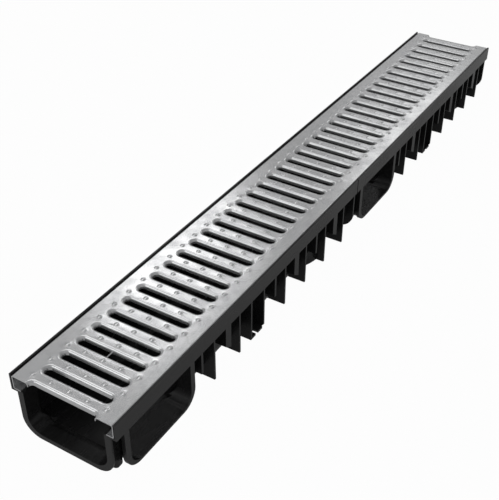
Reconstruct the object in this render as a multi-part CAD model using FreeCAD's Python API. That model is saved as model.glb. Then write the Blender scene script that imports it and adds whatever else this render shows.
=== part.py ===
import FreeCAD, Part
import math
import os

# Slotted channel drain: two moulded half-metre channels end to end under one pressed steel grate.
# Millimetres. Origin at the middle of the underside, +Y along the drain away from its front
# end, +Z up. Sections of a channel are drawn from its own front end, y = 0 at the collar's face.

# Channel module
MODULE_LENGTH = 500.0
MODULE_COUNT = 2
CHANNEL_WIDTH = 130.0
CHANNEL_HEIGHT = 75.0
BORE_WIDTH = 100.0
BORE_CORNER_RADIUS = 17.0
RUN_WIDTH = 96.0
RUN_CORNER_RADIUS = 19.0
WALL_THICKNESS = 3.5
FLOOR_THICKNESS = 4.0

# Rim and the ledge that carries the grate
LEDGE_HEIGHT = 57.0
LEDGE_THICKNESS = 2.2
RIM_THICKNESS = 2.2

# Front end: a raised floor, a sealing groove and a low ridge across the bore
COLLAR_LENGTH = 16.0
COLLAR_FLOOR = 6.0
GROOVE_WIDTH = 6.5
GROOVE_DEPTH = 1.3
RIDGE_WIDTH = 1.6
RIDGE_HEIGHT = 1.0

# Two flanges round the front end, with the joint's groove between them
FLANGE_REACH = 3.8
FACE_FLANGE_THICKNESS = 2.5
FACE_FLANGE_RADIUS = 22.0
BACK_FLANGE_START = 8.8
BACK_FLANGE_THICKNESS = 4.2
BACK_FLANGE_RADIUS = 12.0

# Rear end flange
END_FLANGE_THICKNESS = 3.0
END_FLANGE_HALF = 62.2
END_FLANGE_RADIUS = 20.0

# T-branch frame on each side
BRANCH_CENTRE = 68.0
BRANCH_OPENING = 100.0
BRANCH_LIP = 7.2
BRANCH_FRAME_THICKNESS = 4.5
BRANCH_OUTER_RADIUS = 21.0
BRANCH_INNER_RADIUS = 16.0
BRANCH_FLOOR = 2.9
FLOOR_STEP_BACK = 5.5
BRANCH_WEB_RECESS = 1.5
BRANCH_WEB_THICKNESS = 2.0

# Transverse fins, measured from the module's front end
FIN_THICKNESS = 2.5
FIN_FIRST = 162.0
FIN_PITCH = 50.0
FINS_BEFORE_FOOT = 2
FINS_AFTER_FOOT = 4
FIN_AFTER_FOOT_FIRST = 312.0

# Foot half way along each side: two fins and a slotted tab
FOOT_CENTRE = 250.0
FOOT_SPREAD = 27.0
FOOT_TAB_THICKNESS = 3.0
FOOT_CORNER_CHAMFER = 3.5
FOOT_SLOT_WIDTH = 5.0
FOOT_SLOT_DEPTH = 8.0
FOOT_SLOT_SETBACK = 2.0

# Short ribs under the rim half way between the fins, thin and wide in turn
RIB_SETBACK = 23.0
THIN_RIB_THICKNESS = 3.5
THIN_RIB_BOTTOM = 27.0
WIDE_RIB_THICKNESS = 10.5
WIDE_RIB_FRONT_BOTTOM = 29.0
WIDE_RIB_BACK_BOTTOM = 22.0

# Round outlet boss under the floor, closed by a plug with a breaking groove round it
OUTLET_CENTRE = 416.0
OUTLET_RADIUS = 55.0
OUTLET_HEIGHT = 20.0
OUTLET_WALL = 3.0
PLUG_RADIUS = 50.0
PLUG_GROOVE_WIDTH = 1.5
PLUG_GROOVE_DEPTH = 1.5

# Pressed grate
SHEET_THICKNESS = 1.25
GRATE_SIDE_CLEARANCE = 1.5
GRATE_END_CLEARANCE = 0.0
GRATE_BELOW_RIM = 0.9
GRATE_BEND_RADIUS = 2.5
RETURN_FLANGE_WIDTH = 9.0
SLOT_PITCH = 25.0
SLOT_CLEAR_WIDTH = 11.6
SLOT_CLEAR_LENGTH = 86.0
SLOT_EDGE_RADIUS = 3.0
SLOT_FLANGE_DEPTH = 8.0
SLOT_END_FACETS = 6

# Worked out from the sizes above
TOTAL_LENGTH = MODULE_LENGTH * MODULE_COUNT
CHANNEL_HALF = CHANNEL_WIDTH / 2
BORE_HALF = BORE_WIDTH / 2
LEDGE_UNDERSIDE = LEDGE_HEIGHT - LEDGE_THICKNESS
TROUGH_HALF = BORE_HALF + WALL_THICKNESS
TROUGH_RADIUS = BORE_CORNER_RADIUS + WALL_THICKNESS
RUN_HALF = RUN_WIDTH / 2
RUN_OUTER_HALF = RUN_HALF + WALL_THICKNESS
RUN_OUTER_RADIUS = RUN_CORNER_RADIUS + WALL_THICKNESS
RUN_FLOOR_HALF = RUN_HALF - RUN_CORNER_RADIUS
FLANGE_HALF = TROUGH_HALF + FLANGE_REACH
BRANCH_END = BRANCH_CENTRE + BRANCH_OPENING / 2
SEAT_HALF = CHANNEL_HALF - RIM_THICKNESS
GRATE_HALF = SEAT_HALF - GRATE_SIDE_CLEARANCE
GRATE_TOP = CHANNEL_HEIGHT - GRATE_BELOW_RIM
GRATE_LENGTH = TOTAL_LENGTH - 2 * GRATE_END_CLEARANCE
OVERRUN = 1.0


def vector(x, y, z):
    return FreeCAD.Vector(x, y, z)


def corner_arc(start, centre, end, radius):
    """Quarter or smaller arc about centre that bulges away from it."""
    chord_middle = (start + end) * 0.5
    outward = (chord_middle - centre).normalize()
    return Part.Arc(start, centre + outward * radius, end).toShape()


def polygon_face(points):
    return Part.Face(Part.makePolygon(points + [points[0]]))


def box(x_low, x_high, y_low, y_high, z_low, z_high):
    corner = vector(x_low, y_low, z_low)
    return Part.makeBox(x_high - x_low, y_high - y_low, z_high - z_low, corner)


def u_face(to_point, half_width, floor, top, radius):
    """Upright U of the given half width, filled, with two rounded lower corners."""
    left_top = to_point(-half_width, top)
    left_low = to_point(-half_width, floor + radius)
    floor_left = to_point(-half_width + radius, floor)
    floor_right = to_point(half_width - radius, floor)
    right_low = to_point(half_width, floor + radius)
    right_top = to_point(half_width, top)
    left_centre = to_point(-half_width + radius, floor + radius)
    right_centre = to_point(half_width - radius, floor + radius)
    edges = [
        Part.makeLine(left_top, left_low),
        corner_arc(left_low, left_centre, floor_left, radius),
        Part.makeLine(floor_left, floor_right),
        corner_arc(floor_right, right_centre, right_low, radius),
        Part.makeLine(right_low, right_top),
        Part.makeLine(right_top, left_top),
    ]
    return Part.Face(Part.Wire(edges))


def trough_prism(half_width, floor, top, radius, y_low, y_high):
    """U section that runs along the drain from y_low to y_high."""
    face = u_face(lambda across, up: vector(across, y_low, up), half_width, floor, top, radius)
    return face.extrude(vector(0, y_high - y_low, 0))


def branch_prism(half_width, floor, top, radius, x_low, x_high):
    """U section that runs across the drain from x_low to x_high, at the branch's place."""
    face = u_face(
        lambda along, up: vector(x_low, BRANCH_CENTRE + along, up),
        half_width, floor, top, radius,
    )
    return face.extrude(vector(x_high - x_low, 0, 0))


def mirrored(shape):
    return shape.mirror(vector(0, 0, 0), vector(1, 0, 0))


def both_sides(shapes):
    return shapes + [mirrored(shape) for shape in shapes]


def fin(y_centre):
    """Plate across the drain under the ledge, out to the rim."""
    y_low = y_centre - FIN_THICKNESS / 2
    return box(0, CHANNEL_HALF, y_low, y_low + FIN_THICKNESS, 0, LEDGE_HEIGHT)


def cut_corner_fin(y_centre):
    """The same plate with its lower outer corner cut off."""
    corner = polygon_face([
        vector(CHANNEL_HALF - FOOT_CORNER_CHAMFER, y_centre - FIN_THICKNESS, 0),
        vector(CHANNEL_HALF, y_centre - FIN_THICKNESS, 0),
        vector(CHANNEL_HALF, y_centre - FIN_THICKNESS, FOOT_CORNER_CHAMFER),
    ])
    return fin(y_centre).cut(corner.extrude(vector(0, 2 * FIN_THICKNESS, 0)))


def fin_places():
    before = [FIN_FIRST + FIN_PITCH * index for index in range(FINS_BEFORE_FOOT)]
    after = [FIN_AFTER_FOOT_FIRST + FIN_PITCH * index for index in range(FINS_AFTER_FOOT)]
    return before + after


def short_rib(fin_centre, thickness, front_bottom, back_bottom):
    """Rib from the wall out to the rim's face, in front of a fin, with a sloping lower edge."""
    y_low = fin_centre - RIB_SETBACK - thickness / 2
    y_high = y_low + thickness
    outline = [
        vector(0, y_low, front_bottom),
        vector(0, y_high, back_bottom),
        vector(0, y_high, LEDGE_HEIGHT),
        vector(0, y_low, LEDGE_HEIGHT),
    ]
    return polygon_face(outline).extrude(vector(CHANNEL_HALF, 0, 0))


def short_ribs():
    thin = (THIN_RIB_THICKNESS, THIN_RIB_BOTTOM, THIN_RIB_BOTTOM)
    wide = (WIDE_RIB_THICKNESS, WIDE_RIB_FRONT_BOTTOM, WIDE_RIB_BACK_BOTTOM)
    shapes = []
    for index, fin_centre in enumerate(fin_places()):
        sizes = wide if index % 2 else thin
        shapes.append(short_rib(fin_centre, *sizes))
    return shapes


def foot():
    """Two fins and a tab between them, with a screw slot open to the side."""
    y_low = FOOT_CENTRE - FOOT_SPREAD / 2
    y_high = FOOT_CENTRE + FOOT_SPREAD / 2
    tab_outline = [
        vector(RUN_FLOOR_HALF, y_low, 0),
        vector(CHANNEL_HALF, y_low, 0),
        vector(CHANNEL_HALF, y_high - FOOT_CORNER_CHAMFER, 0),
        vector(CHANNEL_HALF - FOOT_CORNER_CHAMFER, y_high, 0),
        vector(RUN_FLOOR_HALF, y_high, 0),
    ]
    tab = polygon_face(tab_outline).extrude(vector(0, 0, FOOT_TAB_THICKNESS))
    slot_radius = FOOT_SLOT_WIDTH / 2
    slot_end = CHANNEL_HALF - FOOT_SLOT_DEPTH + slot_radius
    slot_y = FOOT_CENTRE - FOOT_SLOT_SETBACK
    slot_top = FOOT_TAB_THICKNESS + OVERRUN
    slot = box(
        slot_end, CHANNEL_HALF + OVERRUN, slot_y - slot_radius, slot_y + slot_radius,
        -OVERRUN, slot_top,
    )
    slot_centre = vector(slot_end, slot_y, -OVERRUN)
    slot = slot.fuse(Part.makeCylinder(slot_radius, slot_top + OVERRUN, slot_centre))
    return [fin(y_low), cut_corner_fin(y_high), tab.cut(slot)]


def end_flange():
    """Plate round the rear end with rounded lower corners."""
    y_low = MODULE_LENGTH - END_FLANGE_THICKNESS
    return trough_prism(
        END_FLANGE_HALF, 0, LEDGE_HEIGHT, END_FLANGE_RADIUS, y_low, MODULE_LENGTH,
    )


def outlet_boss():
    """Ring that stands round the plug and dies into the walls."""
    base = vector(0, OUTLET_CENTRE, 0)
    boss = Part.makeCylinder(OUTLET_RADIUS, OUTLET_HEIGHT, base)
    return boss.cut(Part.makeCylinder(OUTLET_RADIUS - OUTLET_WALL, OUTLET_HEIGHT, base))


def plug_groove():
    """Ring cut into the underside, where the plug breaks out."""
    base = vector(0, OUTLET_CENTRE, -OVERRUN)
    height = PLUG_GROOVE_DEPTH + OVERRUN
    ring = Part.makeCylinder(PLUG_RADIUS + PLUG_GROOVE_WIDTH, height, base)
    return ring.cut(Part.makeCylinder(PLUG_RADIUS, height, base))


def bore_cuts():
    """Waterway: raised floor, groove, ridge, sunk junction floor, then the plain floor."""
    ridge_start = COLLAR_LENGTH + GROOVE_WIDTH
    junction_start = ridge_start + RIDGE_WIDTH
    step = BRANCH_END - FLOOR_STEP_BACK
    top = LEDGE_HEIGHT + OVERRUN
    radius = BORE_CORNER_RADIUS
    return [
        trough_prism(BORE_HALF, COLLAR_FLOOR, top, radius, -OVERRUN, COLLAR_LENGTH),
        trough_prism(
            BORE_HALF, BRANCH_FLOOR - GROOVE_DEPTH, top, radius, COLLAR_LENGTH, ridge_start,
        ),
        trough_prism(
            BORE_HALF - RIDGE_HEIGHT, BRANCH_FLOOR + RIDGE_HEIGHT, top, radius - RIDGE_HEIGHT,
            ridge_start, junction_start,
        ),
        trough_prism(BORE_HALF, BRANCH_FLOOR, top, radius, junction_start, step),
        trough_prism(
            RUN_HALF, FLOOR_THICKNESS, top, RUN_CORNER_RADIUS, step, MODULE_LENGTH + OVERRUN,
        ),
    ]


def front_flanges():
    """Thin flange at the end face and a thicker one behind the joint's groove."""
    back_end = BACK_FLANGE_START + BACK_FLANGE_THICKNESS
    return [
        trough_prism(
            FLANGE_HALF, 0, LEDGE_HEIGHT, FACE_FLANGE_RADIUS, 0, FACE_FLANGE_THICKNESS,
        ),
        trough_prism(
            FLANGE_HALF, 0, LEDGE_HEIGHT, BACK_FLANGE_RADIUS, BACK_FLANGE_START, back_end,
        ),
    ]


def branch_bodies():
    """Tube across the drain for both branches, with a frame plate at each outer face."""
    frame_start = CHANNEL_HALF - BRANCH_FRAME_THICKNESS
    tube = branch_prism(
        BRANCH_OPENING / 2 + WALL_THICKNESS, 0, LEDGE_HEIGHT,
        BRANCH_INNER_RADIUS + WALL_THICKNESS, -frame_start, frame_start,
    )
    plate = branch_prism(
        BRANCH_OPENING / 2 + BRANCH_LIP, 0, LEDGE_HEIGHT, BRANCH_OUTER_RADIUS,
        frame_start, CHANNEL_HALF,
    )
    return [tube, plate, mirrored(plate)]


def branch_cuts():
    """Open branch on the right; on the left a thin web is left near the outer face."""
    half = BRANCH_OPENING / 2
    inner_start = BORE_HALF - BORE_CORNER_RADIUS
    web_outer = CHANNEL_HALF - BRANCH_WEB_RECESS
    web_inner = web_outer - BRANCH_WEB_THICKNESS
    sizes = (half, BRANCH_FLOOR, LEDGE_UNDERSIDE, BRANCH_INNER_RADIUS)
    open_right = branch_prism(*sizes, inner_start, CHANNEL_HALF + OVERRUN)
    left_inside = branch_prism(*sizes, -web_inner, -inner_start)
    left_recess = branch_prism(*sizes, -CHANNEL_HALF - OVERRUN, -web_outer)
    return [open_right, left_inside, left_recess]


def channel_module(y_front):
    """One moulded half-metre channel with its front end at y_front."""
    front = trough_prism(TROUGH_HALF, 0, LEDGE_HEIGHT, TROUGH_RADIUS, 0, BRANCH_END)
    run = trough_prism(
        RUN_OUTER_HALF, 0, LEDGE_HEIGHT, RUN_OUTER_RADIUS, BRANCH_END, MODULE_LENGTH,
    )
    rim = box(-CHANNEL_HALF, CHANNEL_HALF, 0, MODULE_LENGTH, LEDGE_UNDERSIDE, CHANNEL_HEIGHT)
    fins = [fin(y_centre) for y_centre in fin_places()]
    side_shapes = both_sides(fins + short_ribs() + foot())
    ends = front_flanges() + [end_flange(), outlet_boss()]
    body = front.multiFuse([run, rim] + ends + branch_bodies() + side_shapes)
    seat = box(
        -SEAT_HALF, SEAT_HALF, -OVERRUN, MODULE_LENGTH + OVERRUN,
        LEDGE_HEIGHT, CHANNEL_HEIGHT + OVERRUN,
    )
    body = body.cut([seat, plug_groove()] + bore_cuts() + branch_cuts())
    body = body.removeSplitter()
    body.translate(vector(0, y_front, 0))
    return body


def sheet_section():
    """Section of the folded sheet: top, two skirts and two return flanges that face inwards."""
    half = GRATE_HALF
    low = LEDGE_HEIGHT
    inner = half - RETURN_FLANGE_WIDTH
    outside = [
        vector(inner, 0, low),
        vector(half, 0, low),
        vector(half, 0, GRATE_TOP),
        vector(-half, 0, GRATE_TOP),
        vector(-half, 0, low),
        vector(-inner, 0, low),
    ]
    raised = low + SHEET_THICKNESS
    wall = half - SHEET_THICKNESS
    under = GRATE_TOP - SHEET_THICKNESS
    inside = [
        vector(-inner, 0, raised),
        vector(-wall, 0, raised),
        vector(-wall, 0, under),
        vector(wall, 0, under),
        vector(wall, 0, raised),
        vector(inner, 0, raised),
    ]
    return polygon_face(outside + inside)


def long_edges(solid, x, z):
    """Edges of the sheet that run along the drain at the section point (x, z), on both sides."""
    found = []
    for edge in solid.Edges:
        middle = edge.CenterOfMass
        if edge.Length < GRATE_LENGTH - OVERRUN:
            continue
        if abs(abs(middle.x) - x) < 0.01 and abs(middle.z - z) < 0.01:
            found.append(edge)
    return found


def folded_sheet():
    """The C section along the drain, its folds rounded outside and inside."""
    sheet = sheet_section().extrude(vector(0, GRATE_LENGTH, 0))
    outer = long_edges(sheet, GRATE_HALF, GRATE_TOP) + long_edges(sheet, GRATE_HALF, LEDGE_HEIGHT)
    sheet = sheet.makeFillet(GRATE_BEND_RADIUS, outer)
    wall = GRATE_HALF - SHEET_THICKNESS
    inner = long_edges(sheet, wall, GRATE_TOP - SHEET_THICKNESS)
    inner += long_edges(sheet, wall, LEDGE_HEIGHT + SHEET_THICKNESS)
    return sheet.makeFillet(GRATE_BEND_RADIUS - SHEET_THICKNESS, inner)


def slot_outline(half_width, z):
    """Long round-ended outline about the slot's axis, each end drawn in straight facets."""
    arc_centre = SLOT_CLEAR_LENGTH / 2 - SLOT_CLEAR_WIDTH / 2
    points = []
    for side in (1, -1):
        for index in range(SLOT_END_FACETS + 1):
            angle = math.pi * index / SLOT_END_FACETS
            across = side * (arc_centre + half_width * math.sin(angle))
            along = side * half_width * math.cos(angle)
            points.append(vector(across, along, z))
    return Part.makePolygon(points + [points[0]])


def slot_stack(levels):
    """Solid through slot outlines of the given (half width, z), joined by straight walls."""
    outlines = [slot_outline(half_width, z) for half_width, z in levels]
    return Part.makeLoft(outlines, True, True)


def slot_opening():
    """Clear way through a slot, with the top edge rolled over in two flats."""
    clear_half = SLOT_CLEAR_WIDTH / 2
    roll = SLOT_EDGE_RADIUS
    shoulder = roll * (1 - math.sqrt(0.5))
    return slot_stack([
        (clear_half + roll, GRATE_TOP),
        (clear_half + shoulder, GRATE_TOP - shoulder),
        (clear_half, GRATE_TOP - roll),
        (clear_half, GRATE_TOP - SLOT_FLANGE_DEPTH),
    ])


def slot_lip():
    """Turned-down edge all round one slot, centred on the origin."""
    clear_half = SLOT_CLEAR_WIDTH / 2
    back = slot_stack([
        (clear_half + SLOT_EDGE_RADIUS, GRATE_TOP),
        (clear_half + SLOT_EDGE_RADIUS, GRATE_TOP - SHEET_THICKNESS),
        (clear_half + SHEET_THICKNESS, GRATE_TOP - SLOT_EDGE_RADIUS),
        (clear_half + SHEET_THICKNESS, GRATE_TOP - SLOT_FLANGE_DEPTH),
    ])
    return back.cut(slot_opening())


def slot_blank():
    """Piece that is pierced out of the flat sheet before its edge is turned down."""
    half_width = SLOT_CLEAR_WIDTH / 2 + SLOT_EDGE_RADIUS
    return slot_stack([
        (half_width, GRATE_TOP + OVERRUN),
        (half_width, GRATE_TOP - SHEET_THICKNESS - OVERRUN),
    ])


def at(shape, y):
    moved = shape.copy()
    moved.translate(vector(0, y, 0))
    return moved


def slotted_grate():
    """The folded sheet with its slots, and a half slot open at each end."""
    slot_count = int(round(GRATE_LENGTH / SLOT_PITCH))
    places = [SLOT_PITCH * index for index in range(slot_count + 1)]
    blank = slot_blank()
    lip = slot_lip()
    sheet = folded_sheet().cut([at(blank, y) for y in places])
    lips = [at(lip, y) for y in places[1:-1]]
    half_width = GRATE_HALF
    room = box(-half_width, half_width, 0, GRATE_LENGTH, LEDGE_HEIGHT, GRATE_TOP)
    lips += [at(lip, y).common(room) for y in (places[0], places[-1])]
    grate = sheet.multiFuse(lips).removeSplitter()
    grate.translate(vector(0, GRATE_END_CLEARANCE - TOTAL_LENGTH / 2, 0))
    return grate


def export(shape, name):
    solids = shape.Solids
    result = solids[0] if len(solids) == 1 else shape
    result.exportStep(os.path.join("parts", name + ".step"))
    print(name, "solids", len(solids), "volume", round(shape.Volume), "valid", shape.isValid())


os.makedirs("parts", exist_ok=True)
export(channel_module(-TOTAL_LENGTH / 2), "front_channel")
export(channel_module(-TOTAL_LENGTH / 2 + MODULE_LENGTH), "rear_channel")
export(slotted_grate(), "grate")
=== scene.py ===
import logging
import math
from dataclasses import dataclass
from enum import Enum
from typing import Iterable, Sequence

import bmesh
import bpy
from mathutils import Matrix, Quaternion, Vector


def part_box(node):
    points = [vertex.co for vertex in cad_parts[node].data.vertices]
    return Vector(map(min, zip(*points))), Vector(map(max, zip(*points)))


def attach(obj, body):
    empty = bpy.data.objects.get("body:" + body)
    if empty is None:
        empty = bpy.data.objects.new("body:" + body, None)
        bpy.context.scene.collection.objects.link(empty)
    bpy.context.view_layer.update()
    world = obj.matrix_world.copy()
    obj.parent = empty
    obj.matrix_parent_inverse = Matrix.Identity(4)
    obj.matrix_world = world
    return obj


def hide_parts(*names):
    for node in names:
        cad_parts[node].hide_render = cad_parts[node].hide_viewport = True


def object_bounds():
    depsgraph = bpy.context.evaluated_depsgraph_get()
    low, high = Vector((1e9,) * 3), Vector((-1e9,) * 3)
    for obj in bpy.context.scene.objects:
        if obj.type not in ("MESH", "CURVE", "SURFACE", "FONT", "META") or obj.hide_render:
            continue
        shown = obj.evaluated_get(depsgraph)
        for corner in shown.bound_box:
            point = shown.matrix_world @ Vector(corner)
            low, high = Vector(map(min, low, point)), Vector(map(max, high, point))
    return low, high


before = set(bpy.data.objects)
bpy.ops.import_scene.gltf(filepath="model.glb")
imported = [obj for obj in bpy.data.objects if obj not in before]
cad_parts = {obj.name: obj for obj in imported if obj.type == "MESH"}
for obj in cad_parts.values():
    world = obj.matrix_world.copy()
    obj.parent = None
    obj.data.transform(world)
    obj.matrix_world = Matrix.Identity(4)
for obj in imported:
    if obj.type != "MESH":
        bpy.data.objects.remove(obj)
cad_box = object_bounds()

LOG = logging.getLogger("channel_drain")
WHOLE_BODY = "root"
MODULE_NODES = ("front_channel", "rear_channel")

MM = 0.001                       # in metres, the scene's unit
QUARTER_TURN = 90.0              # in degrees, as every angle in a field is
WHITE = (1.0, 1.0, 1.0, 1.0)
WHITE_STRENGTH = 1.0
FLAT_FACE_WEIGHT = 80            # how much more a large face turns its corners' normals
MIX_COLOURS = (6, 7)             # places of a Mix node's two colour inputs
MIX_COLOUR_OUT = 2               # and of its colour output


class Axis(Enum):
    """Row axes as unit vectors."""

    X = (1.0, 0.0, 0.0)
    Y = (0.0, 1.0, 0.0)
    Z = (0.0, 0.0, 1.0)


class Slot(Enum):
    """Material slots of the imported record."""

    PLASTIC = "black_plastic"
    STEEL = "galvanised_steel"


class NodeGraph:
    """Short way to write a material's or a world's node tree."""

    def __init__(self, owner: bpy.types.ID) -> None:
        """Starts an empty tree.

        Args:
            owner: the material or world that holds the tree.
        """
        owner.use_nodes = True
        self.tree = owner.node_tree
        self.tree.nodes.clear()

    def add(self, kind: str, settings: dict | None = None, **inputs: object) -> bpy.types.Node:
        """Adds one node.

        Args:
            kind: the node's type name, such as "ShaderNodeTexNoise".
            settings: attributes of the node itself, such as its operation.
            **inputs: socket values or sockets to link, by socket name in lower case with
                underscores, or in0, in1 and so on by place.

        Returns:
            The new node.
        """
        node = self.tree.nodes.new(kind)
        for name, value in (settings or {}).items():
            setattr(node, name, value)
        by_name = {s.name.lower().replace(" ", "_"): s for s in reversed(node.inputs)}
        for name, value in inputs.items():
            place = name[2:]
            socket = node.inputs[int(place)] if place.isdigit() else by_name[name]
            if isinstance(value, bpy.types.NodeSocket):
                self.tree.links.new(value, socket)
            else:
                socket.default_value = value
        return node

    def object_point(self) -> bpy.types.NodeSocket:
        """Object coordinates, in metres in the row frame."""
        return self.add("ShaderNodeTexCoord").outputs["Object"]

    def noise(self, point: bpy.types.NodeSocket, scale: float = 1.0, detail: float = 2.0,
              roughness: float = 0.5) -> bpy.types.NodeSocket:
        """Soft noise.

        Args:
            point: where the noise is read.
            scale: features in each metre.
            detail: finer layers added.
            roughness: strength of the finer layers.

        Returns:
            The noise value, about 0 to 1.
        """
        node = self.add("ShaderNodeTexNoise", vector=point, scale=scale, detail=detail,
                        roughness=roughness)
        return node.outputs[0]

    def stretched(self, point: bpy.types.NodeSocket,
                  scale: Sequence[float]) -> bpy.types.NodeSocket:
        """The point with each axis scaled, for streaks that run one way."""
        return self.add("ShaderNodeMapping", vector=point, scale=scale).outputs[0]

    def remap(self, value: bpy.types.NodeSocket, span: tuple[float, float], to_low: float = 0.0,
              to_high: float = 1.0) -> bpy.types.NodeSocket:
        """Value mapped from the span to to_low..to_high, and held there."""
        return self.add("ShaderNodeMapRange", in0=value, in1=span[0], in2=span[1], in3=to_low,
                        in4=to_high).outputs[0]

    def mixed(self, factor: bpy.types.NodeSocket, first: float | bpy.types.NodeSocket,
              second: float | bpy.types.NodeSocket) -> bpy.types.NodeSocket:
        """Number between first and second by factor."""
        return self.add("ShaderNodeMix", {"data_type": "FLOAT"}, in0=factor, in2=first,
                        in3=second).outputs[0]

    def mirror_ray(self, path: bpy.types.Node) -> bpy.types.NodeSocket:
        """One for a ray that a glossy or clear surface sent on, by a Light Path node."""
        return self.add("ShaderNodeMath", {"operation": "MAXIMUM"},
                        in0=path.outputs["Is Glossy Ray"],
                        in1=path.outputs["Is Transmission Ray"]).outputs[0]

    def blend(self, factor: bpy.types.NodeSocket, first: Sequence[float],
              second: Sequence[float]) -> bpy.types.NodeSocket:
        """Mixes two colours.

        Args:
            factor: 0 for the first colour to 1 for the second.
            first: red, green and blue.
            second: red, green and blue.

        Returns:
            The mixed colour.
        """
        node = self.add("ShaderNodeMix", {"data_type": "RGBA"}, in0=factor)
        for place, colour in zip(MIX_COLOURS, (first, second)):
            node.inputs[place].default_value = (*colour, 1.0)
        return node.outputs[MIX_COLOUR_OUT]

    def bump(self, height: bpy.types.NodeSocket, relief: tuple[float, float],
             under: bpy.types.NodeSocket | None = None) -> bpy.types.NodeSocket:
        """Bumps the normal by a height.

        Args:
            height: the height, about 0 to 1.
            relief: the bump's strength, and its distance in metres.
            under: the normal of a bump that this one goes on top of.

        Returns:
            The normal.
        """
        strength, distance = relief
        node = self.add("ShaderNodeBump", height=height, strength=strength, distance=distance)
        if under is not None:
            self.tree.links.new(under, node.inputs["Normal"])
        return node.outputs[0]


@dataclass(frozen=True)
class GalvanisedSteel:
    """Hot-dip galvanised sheet: satin grey zinc with soft clouds and a faint spangle."""

    name: str = "galvanised_sheet"
    light: tuple[float, float, float] = (0.74, 0.745, 0.75)
    dull: tuple[float, float, float] = (0.62, 0.625, 0.635)
    roughness_low: float = 0.15
    roughness_high: float = 0.24
    metal_share: float = 0.78
    cloud_scale: float = 34.0
    cloud_detail: float = 3.0
    cloud_roughness: float = 0.55
    cloud_span: tuple[float, float] = (0.3, 0.7)
    spangle_scale: float = 120.0
    spangle_share: float = 0.16
    tone_span: tuple[float, float] = (0.35, 0.80)
    wave_scale: float = 60.0
    wave_detail: float = 1.0
    wave_relief: tuple[float, float] = (0.11, 0.0007)
    rolled_stretch: tuple[float, float, float] = (260.0, 9.0, 260.0)
    rolled_relief: tuple[float, float] = (0.04, 0.0002)

    def material(self) -> bpy.types.Material:
        """Builds the finish.

        Returns:
            The material, on Object coordinates.
        """
        made = bpy.data.materials.new(self.name)
        graph = NodeGraph(made)
        point = graph.object_point()
        cloud = graph.noise(point, self.cloud_scale, self.cloud_detail, self.cloud_roughness)
        spangle = graph.add("ShaderNodeTexVoronoi", vector=point,
                            scale=self.spangle_scale).outputs["Color"]
        spangle_grey = graph.add("ShaderNodeSeparateColor", color=spangle).outputs[0]
        tone = graph.add("ShaderNodeMath", {"operation": "MULTIPLY_ADD"}, in0=spangle_grey,
                         in1=self.spangle_share, in2=cloud).outputs[0]
        colour = graph.blend(graph.remap(tone, self.tone_span), self.dull, self.light)
        rough = graph.remap(cloud, self.cloud_span, self.roughness_high, self.roughness_low)
        wave = graph.noise(point, self.wave_scale, self.wave_detail)
        rolled = graph.noise(graph.stretched(point, self.rolled_stretch))
        normal = graph.bump(rolled, self.rolled_relief, graph.bump(wave, self.wave_relief))
        shader = graph.add("ShaderNodeBsdfPrincipled", base_color=colour, roughness=rough,
                           metallic=self.metal_share, normal=normal)
        graph.add("ShaderNodeOutputMaterial", surface=shader.outputs[0])
        return made


@dataclass(frozen=True)
class MouldedPlastic:
    """Black moulded plastic: fine spark texture, faint flow marks and handling scuffs."""

    name: str = "moulded_black_plastic"
    base: tuple[float, float, float] = (0.013, 0.013, 0.0132)
    scuffed: tuple[float, float, float] = (0.020, 0.020, 0.0203)
    roughness_low: float = 0.19
    roughness_high: float = 0.31
    specular: float = 0.31
    flow_stretch: tuple[float, float, float] = (60.0, 14.0, 22.0)
    flow_detail: float = 3.0
    flow_roughness: float = 0.6
    flow_span: tuple[float, float] = (0.3, 0.7)
    flow_relief: tuple[float, float] = (0.10, 0.0006)
    scuff_stretch: tuple[float, float, float] = (240.0, 40.0, 240.0)
    scuff_detail: float = 4.0
    scuff_roughness: float = 0.7
    scuff_span: tuple[float, float] = (0.52, 0.74)
    grain_scale: float = 1500.0
    grain_detail: float = 1.0
    grain_relief: tuple[float, float] = (0.12, 0.0001)

    def material(self) -> bpy.types.Material:
        """Builds the finish.

        Returns:
            The material, on Object coordinates.
        """
        made = bpy.data.materials.new(self.name)
        graph = NodeGraph(made)
        point = graph.object_point()
        flow = graph.noise(graph.stretched(point, self.flow_stretch), detail=self.flow_detail,
                           roughness=self.flow_roughness)
        scuff = graph.noise(graph.stretched(point, self.scuff_stretch), detail=self.scuff_detail,
                            roughness=self.scuff_roughness)
        colour = graph.blend(graph.remap(scuff, self.scuff_span), self.base, self.scuffed)
        rough = graph.remap(flow, self.flow_span, self.roughness_low, self.roughness_high)
        grain = graph.noise(point, self.grain_scale, self.grain_detail)
        normal = graph.bump(grain, self.grain_relief, graph.bump(flow, self.flow_relief))
        shader = graph.add("ShaderNodeBsdfPrincipled", base_color=colour, roughness=rough,
                           specular_ior_level=self.specular, normal=normal)
        graph.add("ShaderNodeOutputMaterial", surface=shader.outputs[0])
        return made


@dataclass(frozen=True)
class PaleFloor:
    """Studio floor that reads white to the camera and still takes a soft shadow."""

    name: str = "studio_floor"
    albedo: float = 0.50
    shown_share: float = 0.975
    shine_share: float = 0.14

    def material(self) -> bpy.types.Material:
        """Builds the finish.

        Returns:
            The floor's material.
        """
        made = bpy.data.materials.new(self.name)
        graph = NodeGraph(made)
        paper = graph.add("ShaderNodeBsdfDiffuse", color=(self.albedo,) * 3 + (1.0,))
        glow = graph.add("ShaderNodeEmission", strength=WHITE_STRENGTH)
        path = graph.add("ShaderNodeLightPath")
        in_mirrors = graph.mixed(graph.mirror_ray(path), 0.0, self.shine_share)
        shown = graph.mixed(path.outputs["Is Camera Ray"], in_mirrors, self.shown_share)
        mixed = graph.add("ShaderNodeMixShader", in0=shown, in1=paper.outputs[0],
                          in2=glow.outputs[0])
        graph.add("ShaderNodeOutputMaterial", surface=mixed.outputs[0])
        return made


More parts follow.
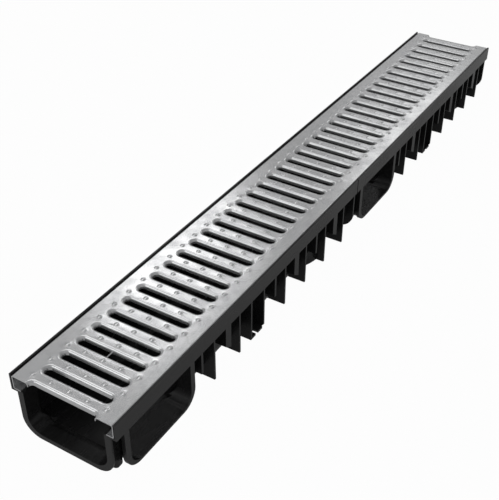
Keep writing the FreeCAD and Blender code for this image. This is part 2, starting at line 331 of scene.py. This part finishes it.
def edge_chain(geometry: Iterable[object]) -> list[bmesh.types.BMEdge]:
    """The edges among mixed bmesh geometry."""
    return [part for part in geometry if isinstance(part, bmesh.types.BMEdge)]


def vertices(geometry: Iterable[object]) -> list[bmesh.types.BMVert]:
    """The vertices among mixed bmesh geometry."""
    return [part for part in geometry if isinstance(part, bmesh.types.BMVert)]


def extruded(mesh: bmesh.types.BMesh, edges: list[bmesh.types.BMEdge],
             shift: Sequence[float]) -> list[bmesh.types.BMEdge]:
    """Extrudes an edge chain by one shift.

    Args:
        mesh: the bmesh in hand.
        edges: the chain.
        shift: how far the new chain lies from it, in metres.

    Returns:
        The new chain.
    """
    made = bmesh.ops.extrude_edge_only(mesh, edges=edges)["geom"]
    bmesh.ops.translate(mesh, verts=vertices(made), vec=shift)
    moved = set(vertices(made))
    return [edge for edge in edge_chain(made) if set(edge.verts) <= moved]


def spun(mesh: bmesh.types.BMesh, edges: list[bmesh.types.BMEdge], centre: Sequence[float],
         axis: Axis, degrees: float, steps: int) -> list[bmesh.types.BMEdge]:
    """Spins an edge chain about an axis.

    Args:
        mesh: the bmesh in hand.
        edges: the chain.
        centre: a point on the axis.
        axis: the axis' direction.
        degrees: how far it turns, by the right-hand rule.
        steps: how many steps it takes.

    Returns:
        The last chain.
    """
    ends = list({vertex for edge in edges for vertex in edge.verts})
    made = bmesh.ops.spin(mesh, geom=ends + edges, cent=centre, axis=axis.value,
                          angle=math.radians(degrees), steps=steps, use_merge=False)
    return edge_chain(made["geom_last"])


def add_mirrored(mesh: bmesh.types.BMesh, geometry: list[object], across: Axis,
                 at: float) -> None:
    """Copies geometry to the other side of a plane.

    Args:
        mesh: the bmesh in hand.
        geometry: what is copied.
        across: the plane's normal.
        at: the plane's place along it.
    """
    made = bmesh.ops.duplicate(mesh, geom=geometry)["geom"]
    normal = Vector(across.value)
    flip = Vector((1.0, 1.0, 1.0)) - 2.0 * normal
    bmesh.ops.scale(mesh, verts=vertices(made), vec=flip, space=Matrix.Translation(-at * normal))


def everything(mesh: bmesh.types.BMesh) -> list[object]:
    """All vertices, edges and faces of a bmesh."""
    return [*mesh.verts, *mesh.edges, *mesh.faces]


def new_object(name: str, mesh: bmesh.types.BMesh) -> bpy.types.Object:
    """Writes a bmesh to a linked object at the origin.

    Args:
        name: the piece's name.
        mesh: its shape, which is freed.

    Returns:
        The object.
    """
    data = bpy.data.meshes.new(name)
    mesh.to_mesh(data)
    mesh.free()
    made = bpy.data.objects.new(name, data)
    bpy.context.scene.collection.objects.link(made)
    return made


def apply_modifiers(piece: bpy.types.Object) -> None:
    """Makes the piece's mesh what its modifiers show, and removes them.

    Args:
        piece: the piece.
    """
    graph = bpy.context.evaluated_depsgraph_get()
    data = bpy.data.meshes.new_from_object(piece.evaluated_get(graph))
    piece.modifiers.clear()
    piece.data = data


def finish_shading(piece: bpy.types.Object, sharp_degrees: float) -> None:
    """Shades a piece smoothly between its crisp edges, with its flat faces kept flat.

    Args:
        piece: the piece.
        sharp_degrees: edges that turn further than this stay crisp.
    """
    for polygon in piece.data.polygons:
        polygon.use_smooth = True
    piece.data.set_sharp_from_angle(angle=math.radians(sharp_degrees))
    weighted = piece.modifiers.new("flat_faces_stay_flat", "WEIGHTED_NORMAL")
    weighted.keep_sharp = True
    weighted.weight = FLAT_FACE_WEIGHT


def dress(piece: bpy.types.Object, material: bpy.types.Material, node: str) -> None:
    """Gives a piece its material and ties it to the frame.

    Args:
        piece: the piece.
        material: its finish.
        node: the solid that it stands for.
    """
    piece.data.materials.clear()
    piece.data.materials.append(material)
    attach(piece, WHOLE_BODY)
    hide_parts(node)


@dataclass
class SlottedGrate:
    """The pressed sheet, built as one cell from slot centre to slot centre and repeated.

    The stud's profile gives shares of its radius and height, from its rim to its top. Its
    catch, in radii from the middle of its rim, is the reach within which points are its own.
    The fields from weld on are distances within which points count as one, or as in one place.
    """

    node: str = "grate"
    pitch: float = 25.0 * MM
    slot_clear_half: float = 5.0 * MM
    slot_clear_length: float = 82.0 * MM
    roll_radius: float = 3.2 * MM
    roll_steps: int = 6
    end_steps: int = 10
    margin: float = 0.3 * MM
    lip_depth: float = 5.6 * MM
    lip_end_depth: float = 4.8 * MM
    lip_shallow_from: float = 35.0 * MM
    lip_shallow_rate: float = 1.4
    sheet: float = 1.05 * MM
    fold_radius: float = 1.6 * MM
    fold_steps: int = 6
    return_width: float = 9.0 * MM
    edge_reach: float = 0.5 * MM
    stud_columns: int = 5
    stud_spacing: float = 22.6 * MM
    stud_radius: float = 3.25 * MM
    stud_height: float = 0.89 * MM
    stud_steps: int = 14
    stud_profile: tuple[tuple[float, float], ...] = (
        (1.0, 0.0), (0.92, 0.20), (0.76, 0.52), (0.56, 0.78), (0.34, 0.93), (0.14, 0.99),
        (0.0, 1.0))
    stud_catch: float = 1.01
    pin_slot: int = 3
    pin_x: float = -1.2 * MM
    pin_depth: float = 2.0 * MM
    pin_radius: float = 0.65 * MM
    pin_overlap: float = 1.0 * MM
    pin_sides: int = 10
    crisp_degrees: float = 40.0
    weld: float = 0.005 * MM
    stud_weld: float = 0.002 * MM
    near: float = 0.01 * MM
    level: float = 0.001 * MM
    top_band: float = 0.1 * MM

    def __post_init__(self) -> None:
        """Reads the folded sheet's outer box from the solid that it stands for."""
        self.low, self.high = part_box(self.node)
        self.top = self.high.z
        self.fold_x = self.high.x + self.edge_reach - self.fold_radius
        self.arc_x = self.slot_clear_length / 2 - self.slot_clear_half
        self.tangent = self.slot_clear_half + self.roll_radius
        self.cells = round((self.high.y - self.low.y) / self.pitch)

    def lip_section(self, mesh: bmesh.types.BMesh) -> list[bmesh.types.BMEdge]:
        """Section of a slot's rolled edge in the plane where its straight side ends.

        Args:
            mesh: the cell's bmesh.

        Returns:
            The section as an edge chain, from the flat sheet down to the lip's foot.
        """
        start = mesh.verts.new((self.arc_x, self.tangent + self.margin, self.top))
        crown = mesh.verts.new((self.arc_x, self.tangent, self.top))
        flat = mesh.edges.new((start, crown))
        centre = (self.arc_x, self.tangent, self.top - self.roll_radius)
        bmesh.ops.spin(mesh, geom=[crown], cent=centre, axis=Axis.X.value,
                       angle=math.pi / 2, steps=self.roll_steps, use_merge=False)
        lowest = min(mesh.verts, key=lambda vertex: vertex.co.z)
        foot = bmesh.ops.extrude_vert_indiv(mesh, verts=[lowest])["verts"]
        drop = self.top - self.lip_depth - lowest.co.z
        bmesh.ops.translate(mesh, verts=foot, vec=(0.0, 0.0, drop))
        return [flat] + [edge for edge in mesh.edges if edge is not flat]

    def half_slot(self, mesh: bmesh.types.BMesh) -> None:
        """Rolled edge round the half of a slot that lies in the cell, at the cell's y = 0.

        Args:
            mesh: the cell's bmesh.
        """
        chain = self.lip_section(mesh)
        spun(mesh, chain, (self.arc_x, 0.0, 0.0), Axis.Z, -QUARTER_TURN, self.end_steps)
        for stop in (self.lip_shallow_from, -self.lip_shallow_from, -self.arc_x):
            chain = extruded(mesh, chain, (stop - chain[0].verts[0].co.x, 0.0, 0.0))
        spun(mesh, chain, (-self.arc_x, 0.0, 0.0), Axis.Z, QUARTER_TURN, self.end_steps)
        self.shallow_ends(mesh)

    def shallow_ends(self, mesh: bmesh.types.BMesh) -> None:
        """Raises the lip's foot round the slot's ends, where the sheet stretches less.

        Args:
            mesh: the cell's bmesh.
        """
        foot_z = self.top - self.lip_depth
        reach = self.arc_x + self.slot_clear_half - self.lip_shallow_from
        for vertex in mesh.verts:
            if abs(vertex.co.z - foot_z) > self.near:
                continue
            share = (abs(vertex.co.x) - self.lip_shallow_from) / reach
            share = min(max(share * self.lip_shallow_rate, 0.0), 1.0)
            vertex.co.z += (self.lip_depth - self.lip_end_depth) * share * share * (3 - 2 * share)

    def stud(self, mesh: bmesh.types.BMesh, x: float) -> None:
        """One domed stud, at the middle of the cell.

        Args:
            mesh: the cell's bmesh.
            x: where the stud stands across the sheet.
        """
        rim = Vector((x, self.pitch / 2, self.top))
        points = [
            mesh.verts.new(rim + Vector((self.stud_radius * out, 0.0, self.stud_height * up)))
            for out, up in self.stud_profile
        ]
        chain = [mesh.edges.new(pair) for pair in zip(points, points[1:])]
        bmesh.ops.spin(mesh, geom=points + chain, cent=rim, axis=Axis.Z.value,
                       angle=2 * math.pi, steps=self.stud_steps, use_merge=True)
        dome = [vertex for vertex in mesh.verts
                if (vertex.co - rim).length < self.stud_radius * self.stud_catch]
        bmesh.ops.remove_doubles(mesh, verts=dome, dist=self.stud_weld)

    def flat_sheet(self, mesh: bmesh.types.BMesh) -> None:
        """Fills the flat of the cell between slots, studs and folds.

        Args:
            mesh: the cell's bmesh.
        """
        end_x = self.arc_x + self.tangent + self.margin
        for y in (0.0, self.pitch):
            for side in (-1.0, 1.0):
                inner = min(mesh.verts, key=lambda vertex: (
                    vertex.co - Vector((side * end_x, y, self.top))).length)
                outer = mesh.verts.new((side * self.fold_x, y, self.top))
                mesh.edges.new((inner, outer))
        corners = [vertex for vertex in mesh.verts
                   if abs(abs(vertex.co.x) - self.fold_x) < self.near]
        for side in (-1.0, 1.0):
            mesh.edges.new([corner for corner in corners if corner.co.x * side > 0.0])
        limit = end_x + self.near
        outline = []
        for edge in mesh.edges:
            level = all(abs(vertex.co.z - self.top) < self.level for vertex in edge.verts)
            cut_end = edge.is_boundary and any(
                all(abs(vertex.co.y - y) < self.level and abs(vertex.co.x) < limit
                    for vertex in edge.verts) for y in (0.0, self.pitch))
            if level and not cut_end and (edge.is_wire or edge.is_boundary):
                outline.append(edge)
        bmesh.ops.triangle_fill(mesh, use_beauty=True, use_dissolve=False, edges=outline,
                                normal=Axis.Z.value)

    def fold(self, mesh: bmesh.types.BMesh) -> None:
        """Skirt and return flange on both sides of the cell.

        Args:
            mesh: the cell's bmesh.
        """
        side_edge = [edge for edge in mesh.edges if all(
            abs(vertex.co.x - self.fold_x) < self.near for vertex in edge.verts)]
        before = set(everything(mesh))
        upper = (self.fold_x, 0.0, self.top - self.fold_radius)
        lower = (self.fold_x, 0.0, self.low.z + self.fold_radius)
        chain = spun(mesh, side_edge, upper, Axis.Y, QUARTER_TURN, self.fold_steps)
        chain = extruded(mesh, chain, (0.0, 0.0, lower[2] - upper[2]))
        chain = spun(mesh, chain, lower, Axis.Y, QUARTER_TURN, self.fold_steps)
        extruded(mesh, chain, (self.fold_radius - self.return_width, 0.0, 0.0))
        made = [part for part in everything(mesh) if part not in before]
        faces = [part for part in made if isinstance(part, bmesh.types.BMFace)]
        edges = {edge for face in faces for edge in face.edges}
        corners = {vertex for face in faces for vertex in face.verts}
        add_mirrored(mesh, [*corners, *edges, *faces], Axis.X, 0.0)

    def cell(self) -> bmesh.types.BMesh:
        """One cell of the sheet's upper skin, its foot at y = 0.

        Returns:
            The cell's bmesh.
        """
        mesh = bmesh.new()
        self.half_slot(mesh)
        add_mirrored(mesh, everything(mesh), Axis.Y, self.pitch / 2)
        for column in range(self.stud_columns):
            self.stud(mesh, (column - (self.stud_columns - 1) / 2) * self.stud_spacing)
        self.flat_sheet(mesh)
        self.fold(mesh)
        bmesh.ops.remove_doubles(mesh, verts=mesh.verts, dist=self.weld)
        return mesh

    def cross_pin(self, mesh: bmesh.types.BMesh) -> None:
        """Thin bright pin across one slot, from lip to lip.

        Args:
            mesh: the finished sheet's bmesh.
        """
        turn = Matrix.Rotation(math.radians(QUARTER_TURN), 4, Axis.X.value)
        y = self.low.y + self.pin_slot * self.pitch
        place = Matrix.Translation((self.pin_x, y, self.top - self.pin_depth))
        length = 2 * self.slot_clear_half + self.pin_overlap
        bmesh.ops.create_cone(mesh, cap_ends=True, segments=self.pin_sides,
                              radius1=self.pin_radius, radius2=self.pin_radius, depth=length,
                              matrix=place @ turn)

    def build(self, finish: GalvanisedSteel) -> bpy.types.Object:
        """Repeats the cell along the sheet and gives it its thickness.

        Args:
            finish: the steel's finish.

        Returns:
            The finished piece.
        """
        mesh = self.cell()
        bmesh.ops.translate(mesh, verts=mesh.verts, vec=(0.0, self.low.y, 0.0))
        first = everything(mesh)
        for index in range(1, self.cells):
            copy = bmesh.ops.duplicate(mesh, geom=first)["geom"]
            bmesh.ops.translate(mesh, verts=vertices(copy), vec=(0.0, index * self.pitch, 0.0))
        bmesh.ops.remove_doubles(mesh, verts=mesh.verts, dist=self.weld)
        bmesh.ops.recalc_face_normals(mesh, faces=mesh.faces)
        widest = max(mesh.faces, key=lambda face: face.calc_area() * abs(face.normal.z)
                     * (face.calc_center_median().z > self.top - self.top_band))
        if widest.normal.z < 0.0:
            bmesh.ops.reverse_faces(mesh, faces=mesh.faces)
        piece = new_object("pressed_grate", mesh)
        thicken = piece.modifiers.new("sheet_thickness", "SOLIDIFY")
        thicken.thickness = self.sheet
        thicken.offset = -1.0
        thicken.use_quality_normals = True
        apply_modifiers(piece)
        mesh = bmesh.new()
        mesh.from_mesh(piece.data)
        self.cross_pin(mesh)
        mesh.to_mesh(piece.data)
        mesh.free()
        finish_shading(piece, self.crisp_degrees)
        dress(piece, finish.material(), self.node)
        return piece


@dataclass
class ChannelModule:
    """One moulded channel, with its edges rounded as a moulding's are.

    Where two modules meet, the rims' outer corners are chamfered, which shows the joint.
    """

    node: str
    edge_radius: float = 0.32 * MM
    edge_steps: int = 2
    edge_profile: float = 0.5
    weld: float = 0.01 * MM
    flat_degrees: float = 2.0
    edge_degrees: float = 28.0
    crisp_degrees: float = 50.0
    joint_y: float = 0.0
    joint_chamfer: float = 0.9 * MM

    def build(self, material: bpy.types.Material) -> bpy.types.Object:
        """Merges the solid's mesh, chamfers its rim at the joint, rounds its edges and dresses it.

        Args:
            material: the moulding's finish.

        Returns:
            The finished piece.
        """
        mesh = bmesh.new()
        mesh.from_mesh(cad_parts[self.node].data)
        bmesh.ops.remove_doubles(mesh, verts=mesh.verts, dist=self.weld)
        bmesh.ops.dissolve_limit(mesh, angle_limit=math.radians(self.flat_degrees),
                                 use_dissolve_boundaries=False, verts=mesh.verts,
                                 edges=mesh.edges, delimit=set())
        low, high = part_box(self.node)
        inward = math.copysign(self.joint_chamfer, low.y + high.y)
        meeting = [vertex for vertex in mesh.verts
                   if abs(vertex.co.y - self.joint_y) < self.weld
                   and abs(vertex.co.x) > high.x - self.weld]
        bmesh.ops.translate(mesh, verts=meeting, vec=(0.0, inward, 0.0))
        turned = math.radians(self.edge_degrees)
        crisp = [edge for edge in mesh.edges
                 if edge.is_manifold and edge.calc_face_angle() > turned]
        bmesh.ops.bevel(mesh, geom=crisp, offset=self.edge_radius, offset_type="OFFSET",
                        segments=self.edge_steps, profile=self.edge_profile, affect="EDGES",
                        clamp_overlap=True, material=-1)
        piece = new_object(self.node + "_moulding", mesh)
        finish_shading(piece, self.crisp_degrees)
        dress(piece, material, self.node)
        return piece


@dataclass(frozen=True)
class SoftBox:
    """One flat studio lamp, aimed at a point: width, height and turn about its own axis."""

    name: str
    place: tuple[float, float, float]
    aim: tuple[float, float, float]
    width: float
    height: float
    turn: float
    watts: float

    def build(self) -> None:
        """Adds the lamp to the scene."""
        lamp = bpy.data.lights.new(self.name, "AREA")
        lamp.energy = self.watts
        lamp.shape = "RECTANGLE"
        lamp.size = self.width
        lamp.size_y = self.height
        made = bpy.data.objects.new(self.name, lamp)
        made.location = self.place
        made.rotation_mode = "QUATERNION"
        away = Vector(self.aim) - Vector(self.place)
        turn = Quaternion(Axis.Z.value, math.radians(self.turn))
        made.rotation_quaternion = away.to_track_quat("-Z", "Y") @ turn
        bpy.context.scene.collection.objects.link(made)


@dataclass
class Studio:
    """White room, pale floor, soft lamps and the camera at the photograph's view."""

    azimuth: float = 31.416
    elevation: float = 35.974
    roll: float = 0.249
    eye: tuple[float, float, float] = (0.45472, -0.90703, 0.67187)
    focal_pixels: float = 884.6
    frame_pixels: float = 500.0
    sensor: float = 36.0
    floor_size: float = 9.0
    floor_drop: float = 0.05 * MM
    room_light: float = 0.50
    room_shine: float = 0.35
    dark_side: tuple[float, float, float] = (0.62, 0.74, 0.26)
    dark_span: tuple[float, float] = (0.60, 0.84)
    dark_share: float = 0.70
    centre: tuple[float, float, float] = (0.0, 0.0, 0.074)

    def lamps(self) -> tuple[SoftBox, ...]:
        """The studio's lamps.

        Returns:
            Two behind the grate, one overhead and one in front.
        """
        return (
            SoftBox("near_plate_box", place=(-3.092, 3.699, 3.853), aim=self.centre,
                    width=0.70, height=1.45, turn=-48.4, watts=6.4),
            SoftBox("far_plate_box", place=(-1.133, 5.021, 3.453), aim=self.centre,
                    width=2.10, height=1.07, turn=-42.5, watts=7.8),
            SoftBox("overhead_box", place=(-2.70, 0.48, 5.34), aim=self.centre,
                    width=3.3, height=2.2, turn=0.0, watts=24.0),
            SoftBox("front_box", place=(-2.0, -3.6, 2.85), aim=self.centre,
                    width=2.6, height=2.6, turn=0.0, watts=27.0),
        )

    def camera(self) -> None:
        """Sets the camera, its turn worked out from azimuth, elevation and roll."""
        azimuth = math.radians(self.azimuth)
        elevation = math.radians(self.elevation)
        back = Vector((math.sin(azimuth) * math.cos(elevation),
                       -math.cos(azimuth) * math.cos(elevation), math.sin(elevation)))
        right = Vector(Axis.Z.value).cross(back).normalized()
        up = back.cross(right)
        roll = math.radians(self.roll)
        rolled_right = right * math.cos(roll) + up * math.sin(roll)
        rolled_up = up * math.cos(roll) - right * math.sin(roll)
        turn = Matrix((rolled_right, rolled_up, back)).transposed()
        data = bpy.data.cameras.new("photo_view")
        data.sensor_width = self.sensor
        data.lens = self.focal_pixels * self.sensor / self.frame_pixels
        made = bpy.data.objects.new("photo_view", data)
        made.matrix_world = Matrix.Translation(self.eye) @ turn.to_4x4()
        bpy.context.scene.collection.objects.link(made)
        bpy.context.scene.camera = made

    def world(self) -> None:
        """White to the camera, and a softer white as light and in reflections.

        Reflections are a little darker still on one side of the room.
        """
        made = bpy.data.worlds.new("white_room")
        graph = NodeGraph(made)
        path = graph.add("ShaderNodeLightPath")
        toward = graph.add("ShaderNodeTexCoord").outputs["Generated"]
        facing = graph.add("ShaderNodeVectorMath", {"operation": "DOT_PRODUCT"}, in0=toward,
                           in1=self.dark_side).outputs["Value"]
        in_mirrors = graph.remap(facing, self.dark_span, self.room_shine,
                                 self.room_shine * self.dark_share)
        strength = graph.mixed(graph.mirror_ray(path), self.room_light, in_mirrors)
        seen = graph.mixed(path.outputs["Is Camera Ray"], strength, WHITE_STRENGTH)
        light = graph.add("ShaderNodeBackground", color=WHITE, strength=seen)
        graph.add("ShaderNodeOutputWorld", surface=light.outputs[0])
        bpy.context.scene.world = made

    def floor(self, finish: PaleFloor) -> None:
        """Lays the floor under the drain.

        Args:
            finish: the floor's finish.
        """
        mesh = bmesh.new()
        bmesh.ops.create_grid(mesh, x_segments=1, y_segments=1, size=self.floor_size / 2)
        height = cad_box[0].z - self.floor_drop
        bmesh.ops.translate(mesh, verts=mesh.verts, vec=(0.0, 0.0, height))
        made = new_object("studio_floor", mesh)
        made.data.materials.append(finish.material())

    def build(self) -> None:
        """Builds the whole studio."""
        bpy.context.scene.view_settings.view_transform = "Standard"
        self.world()
        self.floor(PaleFloor())
        for lamp in self.lamps():
            lamp.build()
        self.camera()


def main() -> None:
    """Builds the drain and its studio, and reports each piece."""
    logging.basicConfig(level=logging.INFO, format="%(name)s: %(message)s")
    plastic = MouldedPlastic().material()
    pieces = [ChannelModule(node).build(plastic) for node in MODULE_NODES]
    pieces.append(SlottedGrate().build(GalvanisedSteel()))
    for piece in pieces:
        LOG.info("%s: %d vertices, %d faces", piece.name, len(piece.data.vertices),
                 len(piece.data.polygons))
    Studio().build()


if __name__ == "__main__":
    main()
